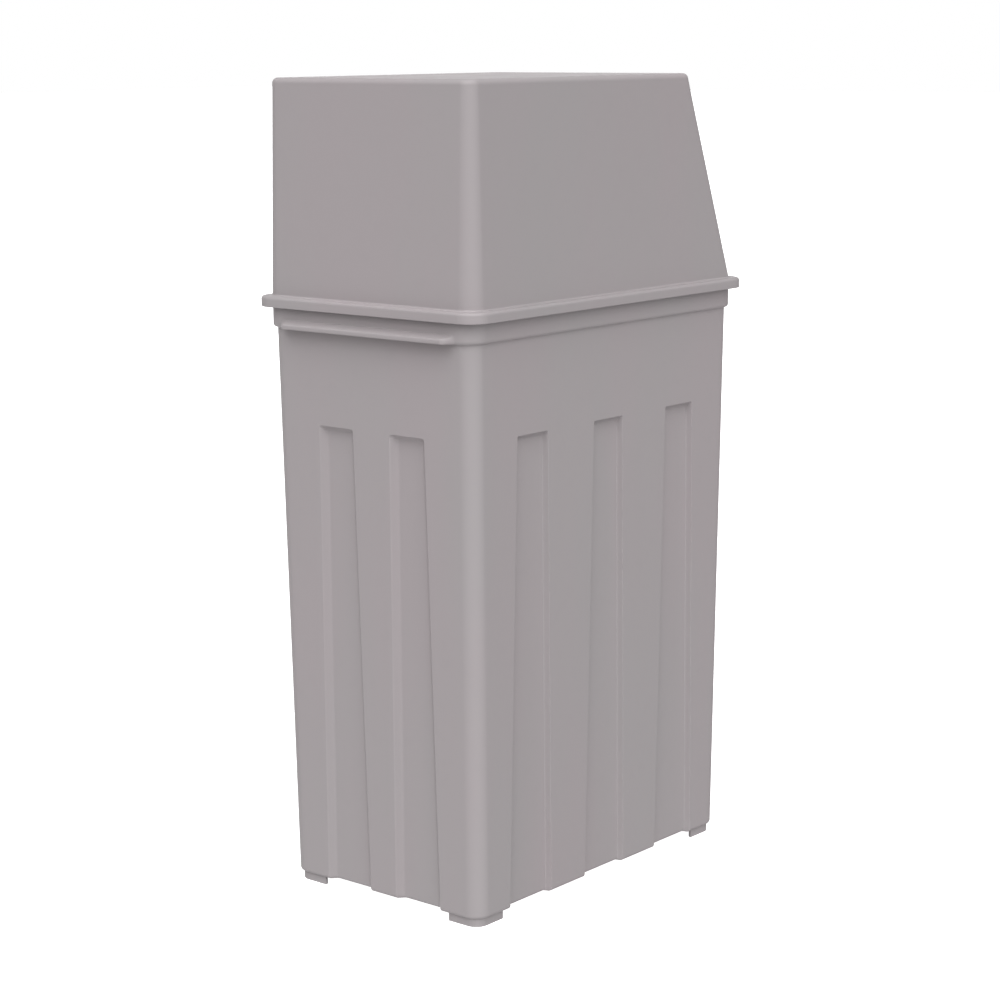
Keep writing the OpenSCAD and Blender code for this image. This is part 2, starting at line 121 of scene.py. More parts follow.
ROD_R, ROD_HALF = 3.0, 116.0
BRACKET_X, BRACKET_T, BRACKET_W, BRACKET_H, EAR_R = 110.4, 2.5, 12.5, 34.0, 8.0
BRACKET_BORE_R, BRACKET_HOLE_R, BRACKET_EDGE = 3.03, 2.1, 0.35
SCREW_X, SCREW_S, SCREW_HEAD_R, SCREW_HEAD_H = 117.2, (189.0, 211.0), 3.4, 2.2
CROSS_LONG, CROSS_SHORT, CROSS_DEPTH = 2.0, 0.4, 1.3
CLIP_R, CLIP_T, CLIP_GAP = 5.0, 1.6, 0.1

COIL_R, SPRING_WIRE_R, COIL_TURNS, COIL_PITCH = 4.4, 0.8, 6, 1.7
SPRING_X = 73.5
HOOD_LEG = (16.0, 12.0)              # the ends of the spring's legs, (s, n) from the hinge axis
FLAP_LEG = (-28.0, 2.6)

RING_WIRE_R, RING_BEND_R = 2.5, 14.0
WELD_SWELL, WELD_HALF_L, WELD_REACH = 0.14, 1.1, 3.0

CORNER_STEPS = 14
CUT_PAST = 1.0                       # how far a cutting shape runs past what it cuts


# ---- Small helpers ----

def between(a, b, count):
    """count evenly spaced values strictly between a and b."""
    return list(np.linspace(a, b, count + 2)[1:-1])


def eased(x, w):
    """0 below zero and x above it, with a parabola from -w to w in between."""
    return np.where(x < -w, 0.0, np.where(x > w, x, (x + w) ** 2 / (4 * w)))


def ramp(x):
    """0 to 1 as x goes from 0 to 1, with both ends rounded off."""
    x = np.asarray(x, float)
    return eased(x, EASE[0]) - eased(x - 1, EASE[1])


def arc(centre, radius, start, stop, steps):
    """Points on a circle, from the angle start to stop in degrees."""
    a = np.radians(np.linspace(start, stop, steps + 1))
    return [(centre[0] + radius * math.cos(t), centre[1] + radius * math.sin(t)) for t in a]


def on_slope(x, s, n):
    """The point at x across, s up and n out of the hood's slanted front."""
    return (x,
            HOOD_BASE["front"] + s * math.sin(LEAN) - n * math.cos(LEAN),
            FLANGE_Z[1] + s * math.cos(LEAN) + n * math.sin(LEAN))


class Skin:
    """Points and faces of one piece, built from rings that all have the same number of points."""

    def __init__(self):
        self.points, self.faces = [], []

    def ring(self, points):
        start = len(self.points)
        self.points += [tuple(p) for p in points]
        return list(range(start, len(self.points)))

    def join(self, a, b, skip=()):
        """Puts a band of faces between two rings, except at the columns in skip."""
        count = len(a)
        for j in range(count):
            if j not in skip:
                k = (j + 1) % count
                self.faces.append((a[j], a[k], b[k], b[j]))

    def cap(self, ring):
        self.faces.append(tuple(ring))

    def strip(self, rings, closed=False):
        made = [self.ring(r) for r in rings]
        for a, b in zip(made, made[1:] + (made[:1] if closed else [])):
            self.join(a, b)
        return made

    def fill(self, outline, hole, flat):
        """Fills the flat region between two convex loops of point indices with triangles."""
        ids, n = list(outline) + list(hole), len(outline)
        edges = [(i, (i + 1) % n) for i in range(n)]
        edges += [(n + i, n + (i + 1) % len(hole)) for i in range(len(hole))]
        made = delaunay_2d_cdt([Vector(flat(self.points[i])) for i in ids], edges, [], 1, 1e-6)
        for triangle in made[2]:
            corners = [made[3][v][0] for v in triangle]
            # A triangle with all its corners on the hole lies inside it
            if min(corners) < n:
                self.faces.append(tuple(ids[c] for c in corners))


def mesh_object(name, skin):
    """Makes a skin's object, with coincident points merged and every face turned outwards."""
    mesh = bpy.data.meshes.new(name)
    mesh.from_pydata([Vector(p) * MM for p in skin.points], [], skin.faces)
    bm = bmesh.new()
    bm.from_mesh(mesh)
    bmesh.ops.remove_doubles(bm, verts=bm.verts, dist=1e-6)
    bmesh.ops.recalc_face_normals(bm, faces=bm.faces)
    bm.to_mesh(mesh)
    bm.free()
    obj = bpy.data.objects.new(name, mesh)
    bpy.context.scene.collection.objects.link(obj)
    return obj


def combine(obj, other, operation):
    """Unites a closed mesh with another one, or cuts that one out of it."""
    mod = obj.modifiers.new("combine", "BOOLEAN")
    mod.operation = operation
    mod.solver = "EXACT"
    mod.object = other
    bpy.context.view_layer.update()
    joined = bpy.data.meshes.new_from_object(
        obj.evaluated_get(bpy.context.evaluated_depsgraph_get()))
    obj.modifiers.clear()
    obj.data = joined
    bpy.data.objects.remove(other)


def unite(obj, other):
    combine(obj, other, "UNION")


def cut(obj, other):
    combine(obj, other, "DIFFERENCE")


def finish_piece(obj, body, nodes, material):
    """Gives a piece its material and the body it moves with, and hides the CAD nodes it stands for."""
    obj.data.materials.clear()
    obj.data.materials.append(material)
    obj.data.shade_smooth()
    weighted = obj.modifiers.new("flat_faces_stay_flat", "WEIGHTED_NORMAL")
    weighted.weight = 80
    if body:
        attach(obj, body)
    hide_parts(*nodes)
    return obj


# ---- Shapes that several pieces share ----

def capped(name, rings):
    """A closed mesh from rings of points, with a flat face at each end."""
    skin = Skin()
    made = skin.strip(rings)
    skin.cap(made[0])
    skin.cap(made[-1])
    return mesh_object(name, skin)


def united(pieces):
    """Joins closed meshes into the first of them."""
    for other in pieces[1:]:
        unite(pieces[0], other)
    return pieces[0]


def circle(sides):
    """Evenly spaced angles, once round."""
    return np.linspace(0, 2 * math.pi, sides + 1)[:-1]


def round_hinge(x, radius):
    """A ring round the hinge's axis."""
    return [on_slope(x, HINGE_S + radius * math.cos(a), HINGE_N + radius * math.sin(a))
            for a in circle(40)]


def round_normal(x, s, n, radius, sides=32):
    """A ring round an axis that stands square on the slope."""
    return [on_slope(x + radius * math.cos(a), s + radius * math.sin(a), n) for a in circle(sides)]


def rect_loop(half, radius, s, steps=8):
    """A round-cornered rectangle on the slope, as (x, s), anticlockwise from its +x side."""
    out = []
    for sx, sy, start in ((1, 1, 0), (-1, 1, 90), (-1, -1, 180), (1, -1, 270)):
        out += arc((sx * (half[0] - radius), s + sy * (half[1] - radius)), radius, start, start + 90, steps)
    return out


def bevelled(start, stop, bevel):
    """Places from start to stop with the inset that each has on a body with bevelled ends."""
    near = bevel * 0.3
    return [(start, bevel), (start + near, near), (start + bevel, 0.0),
            (stop - bevel, 0.0), (stop - near, near), (stop, bevel)]


def bar(name, x0, x1, radius, bevel):
    """A round bar on the hinge's axis."""
    ends = [(x0, radius - bevel), (x0 + bevel, radius), (x1 - bevel, radius), (x1, radius - bevel)]
    return capped(name, [round_hinge(x, r) for x, r in ends])


def extruded(name, outline, x0, x1, bevel):
    """Extrudes outline(inset), a list of (s, n), across the bin."""
    return capped(name, [[on_slope(x, s, n) for s, n in outline(inset)]
                         for x, inset in bevelled(x0, x1, bevel)])


def plate(name, half, radius, centre, n0, n1, bevel):
    """A round-cornered plate that lies on the slope, from n0 to n1."""
    return capped(name, [[on_slope(centre[0] + x, s, n) for x, s in
                          rect_loop(np.array(half) - inset, radius - inset, centre[1], 4)]
                         for n, inset in bevelled(n0, n1, bevel)])


def hole(x, s, radius, n0, n1):
    """What is cut away for a round hole, square on the slope, from n0 to n1."""
    return capped("hole", [round_normal(x, s, n, radius) for n in (n0, n1)])


def mirrored(x0, x1, side):
    """The span from x0 to x1 on one side of the bin, lower end first."""
    return sorted((side * x0, side * x1))


def tube(name, path, radius, reference, sides=12, closed=False):
    """A round wire along a path that never runs along the reference vector; open ends are bevelled."""
    path, reference = [Vector(p) for p in path], Vector(reference)
    last = len(path) - 1

    def ring(i, share=1.0):
        after = path[(i + 1) % len(path)] if closed else path[min(i + 1, last)]
        before = path[i - 1] if closed else path[max(i - 1, 0)]
        u = (after - before).cross(reference).normalized()
        v = (after - before).normalized().cross(u)
        return [path[i] + (u * math.cos(a) + v * math.sin(a)) * radius * share for a in circle(sides)]

    rings = [ring(i) for i in range(len(path))]
    if closed:
        skin = Skin()
        skin.strip(rings, closed=True)
        return mesh_object(name, skin)
    for end, inner in ((0, 1), (-1, -2)):
        step = (path[inner] - path[end]).normalized() * radius * 0.3
        rings[end] = [p + step for p in rings[end]]
    return capped(name, [ring(0, 0.7)] + rings + [ring(last, 0.7)])


# ---- Rings round a rectangular plan ----

# Outward direction and direction along each wall, going round from the +X wall
WALLS = [(np.array(n), np.array(t)) for n, t in
         (((1, 0), (0, 1)), ((0, 1), (-1, 0)), ((-1, 0), (0, -1)), ((0, -1), (1, 0)))]


def plan_ring(half, radius, across, dents=None, centre_y=0.0):
    """Points of a round-cornered rectangle, wall by wall. across lists each wall's columns, and
    dents how far each is pushed in."""
    half = np.asarray(half, float)
    out = []
    for k, (n, t) in enumerate(WALLS):
        hn, ht = abs(n) @ half, abs(t) @ half
        push = dents[k] if dents is not None else np.zeros(len(across[k]))
        for u, d in zip(across[k], push):
            out.append(n * (hn - d) + t * u)
        corner = n * (hn - radius) + t * (ht - radius)
        for a in np.linspace(0, math.pi / 2, CORNER_STEPS + 1):
            out.append(corner + radius * (n * math.cos(a) + t * math.sin(a)))
    return np.array(out) + (0, centre_y)


def plan_directions(counts):
    """The outward direction of each column of plan_ring."""
    out = []
    for (n, t), count in zip(WALLS, counts):
        out += [n] * count
        out += [n * math.cos(a) + t * math.sin(a)
                for a in np.linspace(0, math.pi / 2, CORNER_STEPS + 1)]
    return np.array(out, float)


# ---- Body ----

# Places across a channel's flank, 0 at its outer edge and 1 at its inner edge
FLANK = np.concatenate([np.linspace(-EASE[0], EASE[0], 5), [0.36],
                        np.linspace(1 - EASE[1], 1 + EASE[1], 8)])
LIP_ENDS = np.linspace(0, LIP_END, 13)
LOWEST_ROW_Z, UPPER_ROWS_Z = 24.0, [505.0, 540.0, 568.0]


def body_half(z):
    return BASE + (TOP - BASE) * (z - FOOT_H) / (COLLAR_Z - FOOT_H)


def wall_columns(channels, half_length, z, grow, lip):
    """Where a wall's columns lie, and the share of a channel's depth that each one has."""
    v = min(1.0, (z - FOOT_H) / (CHANNEL_TOP_Z - FOOT_H))
    fit = half_length / (COLLAR[0] - COLLAR_R)
    half = (channels["base"] + (channels["top"] - channels["base"]) * v) / 2 + grow
    flank = FLANK * channels["run"]
    us, shares = [], []

    def land(start, stop, share):
        us.extend(between(start, stop, 3))
        shares.extend([share] * 3)

    if lip:
        us.extend([(a - LIP_HALF) * fit for a in LIP_ENDS])
        shares.extend([0.0] * len(LIP_ENDS))
    for c in channels["at"]:
        land(us[-1] if us else -half_length, c - half + flank[0], 0.0)
        us.extend(c - half + flank)
        shares.extend(ramp(FLANK))
        land(us[-1], c + half - flank[-1], 1.0)
        us.extend(c + half - flank[::-1])
        shares.extend(ramp(FLANK)[::-1])
    end = (LIP_HALF - LIP_END) * fit if lip else half_length
    land(us[-1], end, 0.0)
    if lip:
        us.extend([(LIP_HALF - a) * fit for a in reversed(LIP_ENDS)])
        shares.extend([0.0] * len(LIP_ENDS))
    return np.array(us), np.array(shares)


def growth(run, skin):
    """How far a flank with that run moves along the wall when the face it is on is shifted by skin."""
    k = CHANNEL_DEPTH / run
    return skin * (math.hypot(1, k) - 1) / k


def channel_top(skin):
    return CHANNEL_TOP_Z + growth(CHANNEL_END_RUN, skin)


def body_ring(z, inset=0.0, skin=0.0, half=None, radius=BODY_R):
    """The body's outline at the height z, inset all round, with its channels on a face that is
    shifted by skin, and where each wall's columns lie."""
    half = body_half(z) if half is None else half
    across, dents = [], []
    for k in range(4):
        channels = SIDE_CHANNELS if k % 2 == 0 else END_CHANNELS
        length = half[1 if k % 2 == 0 else 0] - radius
        us, share = wall_columns(channels, length, z, growth(channels["run"], skin), k % 2 == 1)
        down = ramp((channel_top(skin) - z) / CHANNEL_END_RUN)
        both = 1 - ((1 - share) ** CHANNEL_BLEND + (1 - down) ** CHANNEL_BLEND) ** (1 / CHANNEL_BLEND)
        across.append(us)
        dents.append(CHANNEL_DEPTH * np.clip(both, 0, 1))
    return plan_ring(half - inset, radius - inset, across, dents), across


def wall_heights(skin):
    """Heights of the wall's rows: along the channels, close together at their tops, and above."""
    slope = channel_top(skin) - CHANNEL_END_RUN * FLANK[::-1]
    low = np.linspace(LOWEST_ROW_Z, slope[0] - 3, 12)
    return list(low) + list(slope) + UPPER_ROWS_Z


# The collar's section as (out from the body's face, height): plain, and where it has a grip lip
COLLAR_OUT = (COLLAR - TOP)[1]
LIP_OUT = LIP_Y - TOP[1]


def collar_sections():
    step = [(0.0, COLLAR_Z - 1.2), (0.2, COLLAR_Z - 0.4), (0.8, COLLAR_Z)]
    r = COLLAR_EDGE_R
    plain = step + [(0.85, COLLAR_Z)] + arc((COLLAR_OUT - r, COLLAR_Z + r), r, -90, 0, 6)
    plain += [(COLLAR_OUT, COLLAR_Z + z) for z in (3.9, 4.2, 4.5, 4.8, 5.2, 5.6, 6.0, 7.6, 8.6, 9.4)]
    r = LIP_LOW_R
    lip = step + [(6.0, COLLAR_Z)] + arc((LIP_OUT - r, COLLAR_Z + r), r, -90, 0, 6)
    lip += arc((LIP_OUT - LIP_HIGH_R, COLLAR_Z + 3.4), LIP_HIGH_R, 0, 62, 6)
    lip += [(7.9, COLLAR_Z + 6.9), (COLLAR_OUT + 0.3, COLLAR_Z + 8.6), (COLLAR_OUT, COLLAR_Z + 9.4)]
    return plain, lip


def collar_ring(out, inset=0.0):
    """A ring part of the way out from the body's face (0) to the collar's (COLLAR_OUT)."""
    f = out / COLLAR_OUT
    half = TOP + (COLLAR - TOP) * f
    radius = BODY_R + (COLLAR_R - BODY_R) * f
    return body_ring(COLLAR_Z, inset, 0.0, half, radius)


def lip_share(across):
    """1 along a grip lip and 0 beyond it, column by column."""
    out = []
    for k in range(4):
        for u in across[k]:
            a = LIP_HALF - abs(u) if k % 2 == 1 else -1.0
            x = min(1.0, max(0.0, a / LIP_END))
            out.append(x * x * (3 - 2 * x))
        out += [0.0] * (CORNER_STEPS + 1)
    return np.array(out)


def at_height(ring, z):
    """A plan's points at one height."""
    return np.column_stack([ring, np.full(len(ring), float(z))])


def body_rings():
    """Rings of the body's shell from its underside, up outside, over the rim and down inside."""
    rings = []
    for a in np.linspace(90, 0, 8):
        t = math.radians(a)
        z = FOOT_H + BOTTOM_R * (1 - math.sin(t))
        rings.append(at_height(body_ring(z, BOTTOM_R * (1 - math.cos(t)))[0], z))
    rings += [at_height(body_ring(z)[0], z) for z in wall_heights(0)]
    plain, lip = collar_sections()
    for (plain_out, plain_z), (lip_out, lip_z) in zip(plain, lip):
        ring, across = collar_ring(plain_out)
        share = lip_share(across)
        directions = plan_directions([len(u) for u in across])
        ring = ring + directions * (share * (lip_out - plain_out))[:, None]
        rings.append(np.column_stack([ring, plain_z + share * (lip_z - plain_z)]))
    rim = arc((-RIM_R, RIM_Z - RIM_R), RIM_R, 0, 90, 4)
    rim += arc((RIM_R - WALL, RIM_Z - RIM_R), RIM_R, 90, 180, 4)
    rim += [(-WALL, LEDGE_Z + 0.8), (-WALL - 0.25, LEDGE_Z + 0.2)]
    rings += [at_height(collar_ring(COLLAR_OUT, -out)[0], z) for out, z in rim]
    inner = [(COLLAR_OUT - 0.9, LEDGE_Z), (1.0, LEDGE_Z), (0.3, LEDGE_Z - 0.2), (0.0, LEDGE_Z - 1.0)]
    rings += [at_height(collar_ring(out, WALL)[0], z) for out, z in inner]
    rings += [at_height(body_ring(z, WALL, WALL)[0], z) for z in reversed(wall_heights(WALL))]
    for a in np.linspace(0, 90, 7):
        t = math.radians(a)
        z = FOOT_H + WALL + BOTTOM_R * (1 - math.sin(t))
        rings.append(at_height(body_ring(z, WALL + BOTTOM_R * (1 - math.cos(t)), WALL)[0], z))
    return rings


def foot_outline(inset):
    """One L-shaped foot in plan, its outer corner at the +X +Y corner, inset all round."""
    half, r = BASE - FOOT_INSET, BODY_R - FOOT_INSET
    outer = half - inset
    inner = half - WALL + inset
    end = half - FOOT_ARM + inset
    corner = arc(half - r, r - inset, 0, 90, 10)
    hollow = arc(half - r, r - WALL + inset, 90, 0, 10)
    return ([(outer[0], end[1])] + corner + [(end[0], outer[1]), (end[0], inner[1])]
            + hollow + [(inner[0], end[1])])


def foot_object(sx, sy):
    """The foot of one corner, its lower edge bevelled and its top inside the floor."""
    levels = [(0.54, 0.0), (0.24, 0.12), (0.072, 0.4), (0.0, 0.9), (0.0, FOOT_H + CUT_PAST)]
    return capped("foot", [[(x * sx, y * sy, z) for x, y in foot_outline(inset)]
                           for inset, z in levels])


def make_body(material):
    obj = capped("bin_body_moulding", body_rings())
    for sx in (-1, 1):
        for sy in (-1, 1):
            unite(obj, foot_object(sx, sy))
    return finish_piece(obj, "bin", ["bin_body"], material)


# ---- Hood ----

# Columns along each wall of the hood, from -1 to 1 over its flat length
HOOD_COLUMNS = [np.linspace(-1, 1, n + 2)[1:-1] for n in (12, 9, 12, 9)]
TOP_INSIDE_R = HOOD_EDGE_R - WALL


def hood_plan(half, front, back, radius):
    middle, depth = (front + back) / 2, (back - front) / 2
    lengths = [depth - radius, half - radius] * 2
    across = [c * m for c, m in zip(HOOD_COLUMNS, lengths)]
    return plan_ring((half, depth), radius, across, None, middle)


def even_plan(half, radius):
    """A plan that has the bin's middle as its own."""
    return hood_plan(half[0], -half[1], half[1], radius)


def hood_sections():
    """Rings of the hood's shell from the middle of its top, down outside and up inside, and
    between which of them its outer and inner walls lie."""
    base, top = hood_plan(**HOOD_BASE), hood_plan(**HOOD_TOP)
    n = plan_directions([len(c) for c in HOOD_COLUMNS])
    tan = -((top - base) * n).sum(1) / HOOD_RISE
    lean = np.arctan(tan)

    def wall(z, out=0.0):
        """On the wall's face at the height z, or out of it."""
        return base + (top - base) * ((z - FLANGE_Z[1]) / HOOD_RISE) + n * (out / np.cos(lean))[:, None]

    def place(plan, out, z):
        return np.column_stack([plan + n * np.reshape(out, (-1, 1)), z + np.zeros(len(plan))])

    def top_edge(radius, steps):
        """From the flat top to the wall, round the top edge."""
        z = HOOD_HI.z - HOOD_EDGE_R
        centre = wall(z, -HOOD_EDGE_R)
        for f in np.linspace(0, 1, steps + 1):
            a = math.pi / 2 + (lean - math.pi / 2) * f
            yield place(centre, radius * np.cos(a), z + radius * np.sin(a))

    def foot_fillet(steps):
        z = FLANGE_Z[1] + HOOD_FOOT_R
        centre = wall(z, HOOD_FOOT_R)
        for f in np.linspace(0, 1, steps + 1):
            a = math.pi + lean + (math.pi / 2 - lean) * f
            yield place(centre, HOOD_FOOT_R * np.cos(a), z + HOOD_FOOT_R * np.sin(a))

    outside = list(top_edge(HOOD_EDGE_R, 9))
    foot = list(foot_fillet(5))
    rows = [outside[-1] + (foot[0] - outside[-1]) * f for f in np.linspace(0, 1, 9)[1:-1]]
    front_rows = (len(outside) - 1, len(outside) + len(rows))
    rings = outside + rows + foot

    def level(half, radius, sections):
        return [at_height(even_plan(half + out, radius + out), z) for out, z in sections]

    r = FLANGE_TOP_EDGE_R
    rings += level(FLANGE, FLANGE_R, arc((-r, FLANGE_Z[1] - r), r, 90, 0, 6))
    r = FLANGE_LOW_EDGE_R
    skirt, skirt_r = FLANGE - SKIRT_T, FLANGE_R - SKIRT_T
    rings += level(FLANGE, FLANGE_R, arc((-r, FLANGE_Z[0] + r), r, 0, -90, 4))
    rings += level(skirt, skirt_r, arc((r, FLANGE_Z[0] + r), r, -90, -180, 4))
    plate_z = RIM_Z + PLUG_GAP
    rings += level(skirt, skirt_r, [(0, plate_z - 0.6), (-0.6, plate_z)])
    plug, plug_r = COLLAR - WALL - PLUG_GAP, COLLAR_R - WALL - PLUG_GAP
    rings += level(plug, plug_r, [(0.6, plate_z), (0, plate_z - 0.6)])
    rings += level(plug, plug_r, arc((-1.0, PLUG_Z + 1.0), 1.0, 0, -90, 4))
    rings += level(plug, plug_r, arc((1.0 - WALL, PLUG_Z + 1.0), 1.0, -90, -180, 4))
    ledge = [(-WALL, FLANGE_Z[1] - 1.0), (-WALL + 0.2, FLANGE_Z[1] - 0.3), (-WALL + 0.9, FLANGE_Z[1])]
    rings += level(plug, plug_r, ledge)
    low = wall(FLANGE_Z[1] + 0.6, -WALL)
    rings += [place(low, -0.5, FLANGE_Z[1] + 0.05), place(low, 0.0, FLANGE_Z[1] + 0.6)]
    inside = list(top_edge(TOP_INSIDE_R, 5))[::-1]
    start = rings[-1]
    rows = [start + (inside[0] - start) * f for f in np.linspace(0, 1, 7)[1:-1]]
    back_rows = (len(rings) - 1, len(rings) + len(rows))
    return rings + rows + inside, front_rows, back_rows


def opening_loop(out, n):
    """The outline of the hood's opening, moved out into the wall, at n on the slope."""
    half = np.array(OPENING["half"]) + out
    return [on_slope(x, s, n) for x, s in rect_loop(half, OPENING["r"] + out, OPENING["s"])]


def ring_section():
    """The opening's edge as (out from the opening, n), from the outer face to the inner face."""
    edge = arc((2.2, -2.2), 2.2, 90, 180, 5)
    lip = arc((1.0, RING_BACK + 1.0), 1.0, 180, 270, 3)
    back = arc((RING_W - 1.0, RING_BACK + 1.0), 1.0, 270, 360, 3)
    root = arc((RING_W + 1.0, -WALL - 1.0), 1.0, 180, 90, 3)
    return edge + lip + back + root


def hood_skin():
    """The hood's shell with the slanted front left open, then closed again round the opening."""
    rings, front_rows, back_rows = hood_sections()
    skin = Skin()
    made = [skin.ring(r) for r in rings]
    first = sum(len(c) + CORNER_STEPS + 1 for c in HOOD_COLUMNS[:3]) - 1
    last = first + len(HOOD_COLUMNS[3]) + 1
    front = set(range(first, last))
    for i, (a, b) in enumerate(zip(made, made[1:])):
        open_here = any(lo <= i < hi for lo, hi in (front_rows, back_rows))
        skin.join(a, b, front if open_here else ())
    skin.cap(made[0])
    skin.cap(made[-1])
    loops = skin.strip([opening_loop(out, n) for out, n in ring_section()])
    for (lo, hi), hole in ((front_rows, loops[0]), (back_rows, loops[-1])):
        outline = ([made[lo][j] for j in range(first, last + 1)]
                   + [made[i][last] for i in range(lo + 1, hi)]
                   + [made[hi][j] for j in range(last, first - 1, -1)]
                   + [made[i][first] for i in range(hi - 1, lo, -1)])
        skin.fill(outline, hole, lambda p: (p[0], p[2]))
    return skin


def boss_object(x, s):
    """A boss for one screw, from inside the slanted front's wall to the ring's back."""
    section = [(BOSS_R, -2.0), (BOSS_R, RING_BACK + BOSS_EDGE), (BOSS_R - BOSS_EDGE, RING_BACK)]
    return capped("boss", [round_normal(x, s, n, r, 24) for r, n in section])


def make_hood(material):
    obj = mesh_object("hood_moulding", hood_skin())
    for side in (-1, 1):
        for s in SCREW_S:
            unite(obj, boss_object(side * SCREW_X, s))
    return finish_piece(obj, "hood", ["hood"], material)


# ---- Flap ----

def flap_plate():
    """Rings from the middle of the push recess, over the front and round to the ribbed back."""
    rings = []

    def add(form, sections):
        half = np.array(form["half"])
        for out, n in sections:
            rings.append([on_slope(x, s, n) for x, s in
                          rect_loop(half + out, form["r"] + out, form["s"])])

    add(FLAP_RECESS, arc((-0.9, FLAP_FRONT - 0.2), 0.8, -90, 0, 3))
    add(FLAP_RECESS, arc((0.5, FLAP_FRONT - 0.5), 0.5, 180, 90, 3))
    add(FLAP, arc((-1.0, FLAP_FRONT - 1.0), 1.0, 90, 0, 4))
    add(FLAP, arc((-1.0, FLAP_BACK + 1.0), 1.0, 0, -90, 4))
    add(FLAP_RIB, arc((0.8, FLAP_BACK - 0.8), 0.8, 90, 180, 3))
    add(FLAP_RIB, arc((-0.6, FLAP_BACK - 4.4), 0.6, 0, -90, 3))
    add(FLAP_RIB, arc((-1.9, FLAP_BACK - 4.4), 0.6, -90, -180, 3))
    add(FLAP_RIB, arc((-3.3, FLAP_BACK - 0.8), 0.8, 0, 90, 3))
    return capped("flap_moulding", rings)


def knuckle_outline(inset):
    """A round eye on the hinge's axis with a web that ends inside the flap's plate."""
    r = KNUCKLE_R - inset
    top, bottom = FLAP_FRONT - 0.03 - inset, FLAP_BACK + 0.03 + inset
    low = math.degrees(math.asin((bottom - HINGE_N) / r))
    root = FLAP_TOP_S - 3.0
    return arc((HINGE_S, HINGE_N), r, 180 - low, 450, 30) + [(root, top), (root, bottom)]


def stop_outline(inset):
    """A lug that points at the slanted front's inside when the flap is fully open."""
    turn = math.radians(90 - OPEN_ANGLE)
    near, far, side = inset, STOP_REACH - inset, STOP_HALF_T - inset
    return [(HINGE_S + y * math.cos(turn) - z * math.sin(turn),
             HINGE_N + y * math.sin(turn) + z * math.cos(turn))
            for y, z in ((near, -side), (far, -side), (far, side), (near, side))]


def make_flap(material):
    obj = flap_plate()
    bore = KNUCKLES[0][0] - 2, KNUCKLES[1][1] + 2
    for side in (-1, 1):
        for x0, x1 in KNUCKLES:
            unite(obj, extruded("knuckle", knuckle_outline, *mirrored(x0, x1, side), 0.5))
        unite(obj, extruded("stop", stop_outline, *mirrored(*STOP_X, side), 0.4))
        cut(obj, bar("bore", *mirrored(*bore, side), KNUCKLE_BORE_R, 0.01))
        for s in BUMPER_S:
            cut(obj, hole(side * BUMPER_X, s, BUMPER_HOLE_R, FLAP_BACK - 1.5, FLAP_FRONT + 1.5))
    return finish_piece(obj, "flap", ["flap"], material)


def make_bumpers(name, side, material):
    """Two turned rubber buttons: a barb behind the flap, a stem in its hole and a soft head."""
    back, front = FLAP_BACK - 0.02, FLAP_FRONT + 0.02
    section = [(0.4, back - 1.58), (1.2, back - 1.58), (1.5, back - 1.43), (2.5, back - 0.23),
               (2.6, back - 0.08), (2.5, back), (1.8, back), (1.8, front), (3.2, front),
               (3.4, front + 0.18)]
    section += arc((2.5, front + 0.28), 0.9, 0, 90, 4) + [(1.2, front + 1.21)]
    obj = united([capped(name + "_buttons",
                         [round_normal(side * BUMPER_X, s, n, r, 24) for r, n in section])
                  for s in BUMPER_S])
    return finish_piece(obj, "flap", [name], material)


# ---- Hinge hardware ----

def make_rod(material):
    obj = bar("hinge_rod_bar", -ROD_HALF, ROD_HALF, ROD_R, 0.5)
    return finish_piece(obj, "hood", ["hinge_rod"], material)


def ear_outline(inset):
    """The bracket's ear: round below the hinge's axis, straight up into the foot above it."""
    r = EAR_R - inset
    top = RING_BACK - 0.8
    return arc((HINGE_S, HINGE_N), r, -180, 0, 24) + [(HINGE_S + r, top), (HINGE_S - r, top)]


def make_bracket(name, side, material):
    """An angle bracket: a foot screwed to the hood and an ear that carries the rod."""
    middle = side * (BRACKET_X + BRACKET_W / 2)
    obj = plate(name + "_plate", (BRACKET_W / 2, BRACKET_H / 2), 1.6, (middle, HINGE_S),
                RING_BACK - BRACKET_T, RING_BACK, BRACKET_EDGE)
    x0, x1 = mirrored(BRACKET_X, BRACKET_X + BRACKET_T, side)
    unite(obj, extruded("ear", ear_outline, x0, x1, BRACKET_EDGE))
    cut(obj, bar("bore", x0 - CUT_PAST, x1 + CUT_PAST, BRACKET_BORE_R, 0.01))
    for s in SCREW_S:
        cut(obj, hole(side * SCREW_X, s, BRACKET_HOLE_R, RING_BACK - BRACKET_T - 1.5, RING_BACK + 2.0))
    return finish_piece(obj, "hood", [name], material)


def screw(side, s):
    """A pan-head screw with a cross recess, its head on the bracket and its shank in the boss."""
    seat = RING_BACK - BRACKET_T
    top = seat - SCREW_HEAD_H
    section = [(1.6, top), (2.5, top + 0.12), (3.1, top + 0.5), (3.35, top + 1.0),
               (SCREW_HEAD_R, top + 1.5), (SCREW_HEAD_R, seat - 0.1), (3.3, seat), (1.5, seat),
               (1.5, seat + 7.5), (0.9, seat + 8.4)]
    x = side * SCREW_X
    obj = capped("bracket_screw", [round_normal(x, s, n, r, 28) for r, n in section])
    arm = ((CROSS_LONG, -CROSS_SHORT), (CROSS_LONG, CROSS_SHORT), (CROSS_SHORT, CROSS_SHORT))
    cross = [(x + u * c - v * d, s + u * d + v * c)
             for c, d in ((1, 0), (0, 1), (-1, 0), (0, -1)) for u, v in arm]
    cut(obj, capped("slot", [[on_slope(a, b, n) for a, b in cross]
                             for n in (top - CUT_PAST, top + CROSS_DEPTH)]))
    return obj


def make_screws(material):
    obj = united([screw(side, s) for side in (-1, 1) for s in SCREW_S])
    return finish_piece(obj, "hood", ["bracket_screws"], material)


